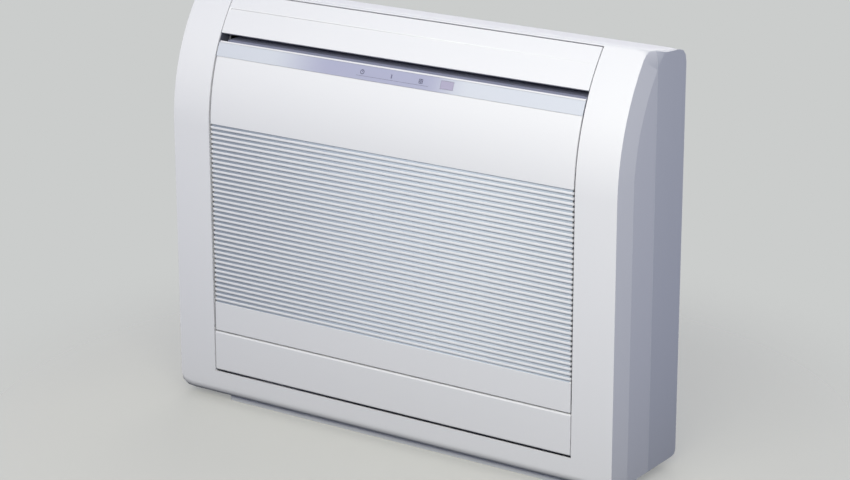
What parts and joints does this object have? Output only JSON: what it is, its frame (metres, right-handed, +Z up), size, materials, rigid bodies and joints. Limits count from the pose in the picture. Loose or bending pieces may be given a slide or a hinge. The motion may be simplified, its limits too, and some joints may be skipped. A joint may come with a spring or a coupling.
{
  "type": "floor standing air conditioner",
  "caption": "Low white floor console air conditioner with a slatted hinged front panel, display strip and upper and lower air outlet flaps.",
  "frame": {"origin": "middle of the footprint on the floor, at the bottom of the plinth", "axes": "+X across the width to the viewer's right, +Y from the front face to the wall, +Z up"},
  "size_m": [0.74, 0.165, 0.5999],
  "materials": {
    "casing": "satin white with a fine grain",
    "strip": "pale lavender, semi-gloss",
    "lens": "smoked lamp window",
    "window": "tinted receiver window",
    "inner_plastic": "pale grey moulding",
    "dark_plastic": "charcoal moulding",
    "fan_plastic": "grey glass-filled moulding",
    "aluminium": "bare fin stock",
    "copper": "drawn copper tube",
    "steel": "galvanised sheet",
    "board": "green circuit board"
  },
  "bodies": {
    "housing": {"front_casing": "casing", "rear_casing": "casing", "base_plinth": "inner_plastic", "upper_flap_motor": "steel", "lower_flap_motor": "steel", "air_duct": "inner_plastic", "bell_mouth": "inner_plastic", "fan_motor": "steel", "motor_bracket": "steel", "exchanger_fins": "aluminium", "coil_end_left": "copper", "coil_end_right": "copper", "gas_pipe": "copper", "liquid_pipe": "copper", "drain_pan": "dark_plastic", "air_filter_left": "dark_plastic", "air_filter_right": "dark_plastic", "vane_rail": "inner_plastic", "control_box": "steel", "control_cover": "steel", "control_board": "board", "terminal_block": "dark_plastic", "display_case": "inner_plastic", "display_board": "board", "room_sensor": "dark_plastic", "wall_bracket": "steel", "casing_screw_left": "steel", "casing_screw_right": "steel", "cover_screw_1": "steel", "cover_screw_2": "steel"},
    "panel": {"front_panel": "casing", "display_strip": "strip", "timer_lamp": "lens", "operation_lamp": "lens", "filter_lamp": "lens", "receiver_window": "window"},
    "upper_flap": {"upper_flap": "casing"},
    "lower_flap": {"lower_flap": "casing"},
    "fan": {"turbo_fan": "fan_plastic", "motor_shaft": "steel", "fan_nut": "steel"},
    "louvre_left_1": {"louvre_left_1": "inner_plastic"},
    "louvre_left_2": {"louvre_left_2": "inner_plastic"},
    "louvre_left_3": {"louvre_left_3": "inner_plastic"},
    "louvre_left_4": {"louvre_left_4": "inner_plastic"},
    "louvre_left_5": {"louvre_left_5": "inner_plastic"},
    "link_bar_left": {"link_bar_left": "inner_plastic"},
    "louvre_right_1": {"louvre_right_1": "inner_plastic"},
    "louvre_right_2": {"louvre_right_2": "inner_plastic"},
    "louvre_right_3": {"louvre_right_3": "inner_plastic"},
    "louvre_right_4": {"louvre_right_4": "inner_plastic"},
    "louvre_right_5": {"louvre_right_5": "inner_plastic"},
    "link_bar_right": {"link_bar_right": "inner_plastic"},
    "manual_button": {"manual_button": "casing"}
  },
  "joints": [
    {"name": "panel_hinge", "type": "hinge", "parent": "housing", "child": "panel", "pos_m": [0, -0.0795, 0.1155], "axis": [1, 0, 0], "range_deg": [0, 28]},
    {"name": "upper_flap_hinge", "type": "hinge", "parent": "housing", "child": "upper_flap", "pos_m": [0, -0.0335, 0.5535], "axis": [1, 0, 0], "range_deg": [0, 75]},
    {"name": "lower_flap_hinge", "type": "hinge", "parent": "housing", "child": "lower_flap", "pos_m": [0, -0.0735, 0.055], "axis": [1, 0, 0], "range_deg": [0, 50]},
    {"name": "fan_spin", "type": "hinge", "parent": "housing", "child": "fan", "pos_m": [0, 0, 0.32], "axis": [0, 1, 0], "continuous": true},
    {"name": "louvre_left_1_hinge", "type": "hinge", "parent": "housing", "child": "louvre_left_1", "pos_m": [-0.036, -0.002, 0.55], "axis": [0, 0, 1], "range_deg": [-35, 35]},
    {"name": "louvre_left_2_hinge", "type": "hinge", "parent": "housing", "child": "louvre_left_2", "pos_m": [-0.088, -0.002, 0.55], "axis": [0, 0, 1], "range_deg": [-35, 35]},
    {"name": "louvre_left_3_hinge", "type": "hinge", "parent": "housing", "child": "louvre_left_3", "pos_m": [-0.14, -0.002, 0.55], "axis": [0, 0, 1], "range_deg": [-35, 35]},
    {"name": "louvre_left_4_hinge", "type": "hinge", "parent": "housing", "child": "louvre_left_4", "pos_m": [-0.192, -0.002, 0.55], "axis": [0, 0, 1], "range_deg": [-35, 35]},
    {"name": "louvre_left_5_hinge", "type": "hinge", "parent": "housing", "child": "louvre_left_5", "pos_m": [-0.244, -0.002, 0.55], "axis": [0, 0, 1], "range_deg": [-35, 35]},
    {"name": "link_left_pivot", "type": "hinge", "parent": "louvre_left_1", "child": "link_bar_left", "pos_m": [-0.036, 0.009, 0.5366], "axis": [0, 0, 1], "range_deg": [-35, 35]},
    {"name": "louvre_right_1_hinge", "type": "hinge", "parent": "housing", "child": "louvre_right_1", "pos_m": [0.036, -0.002, 0.55], "axis": [0, 0, 1], "range_deg": [-35, 35]},
    {"name": "louvre_right_2_hinge", "type": "hinge", "parent": "housing", "child": "louvre_right_2", "pos_m": [0.088, -0.002, 0.55], "axis": [0, 0, 1], "range_deg": [-35, 35]},
    {"name": "louvre_right_3_hinge", "type": "hinge", "parent": "housing", "child": "louvre_right_3", "pos_m": [0.14, -0.002, 0.55], "axis": [0, 0, 1], "range_deg": [-35, 35]},
    {"name": "louvre_right_4_hinge", "type": "hinge", "parent": "housing", "child": "louvre_right_4", "pos_m": [0.192, -0.002, 0.55], "axis": [0, 0, 1], "range_deg": [-35, 35]},
    {"name": "louvre_right_5_hinge", "type": "hinge", "parent": "housing", "child": "louvre_right_5", "pos_m": [0.244, -0.002, 0.55], "axis": [0, 0, 1], "range_deg": [-35, 35]},
    {"name": "link_right_pivot", "type": "hinge", "parent": "louvre_right_1", "child": "link_bar_right", "pos_m": [0.036, 0.009, 0.5366], "axis": [0, 0, 1], "range_deg": [-35, 35]},
    {"name": "manual_button_press", "type": "slide", "parent": "housing", "child": "manual_button", "axis": [0, 1, 0], "range_m": [0, 0.0015], "stiffness_N_per_m": 200}
  ],
  "couplings": [
    {"joint": "louvre_left_2_hinge", "follows": "louvre_left_1_hinge", "ratio": 1},
    {"joint": "louvre_left_3_hinge", "follows": "louvre_left_1_hinge", "ratio": 1},
    {"joint": "louvre_left_4_hinge", "follows": "louvre_left_1_hinge", "ratio": 1},
    {"joint": "louvre_left_5_hinge", "follows": "louvre_left_1_hinge", "ratio": 1},
    {"joint": "link_left_pivot", "follows": "louvre_left_1_hinge", "ratio": -1},
    {"joint": "louvre_right_2_hinge", "follows": "louvre_right_1_hinge", "ratio": 1},
    {"joint": "louvre_right_3_hinge", "follows": "louvre_right_1_hinge", "ratio": 1},
    {"joint": "louvre_right_4_hinge", "follows": "louvre_right_1_hinge", "ratio": 1},
    {"joint": "louvre_right_5_hinge", "follows": "louvre_right_1_hinge", "ratio": 1},
    {"joint": "link_right_pivot", "follows": "louvre_right_1_hinge", "ratio": -1}
  ]
}
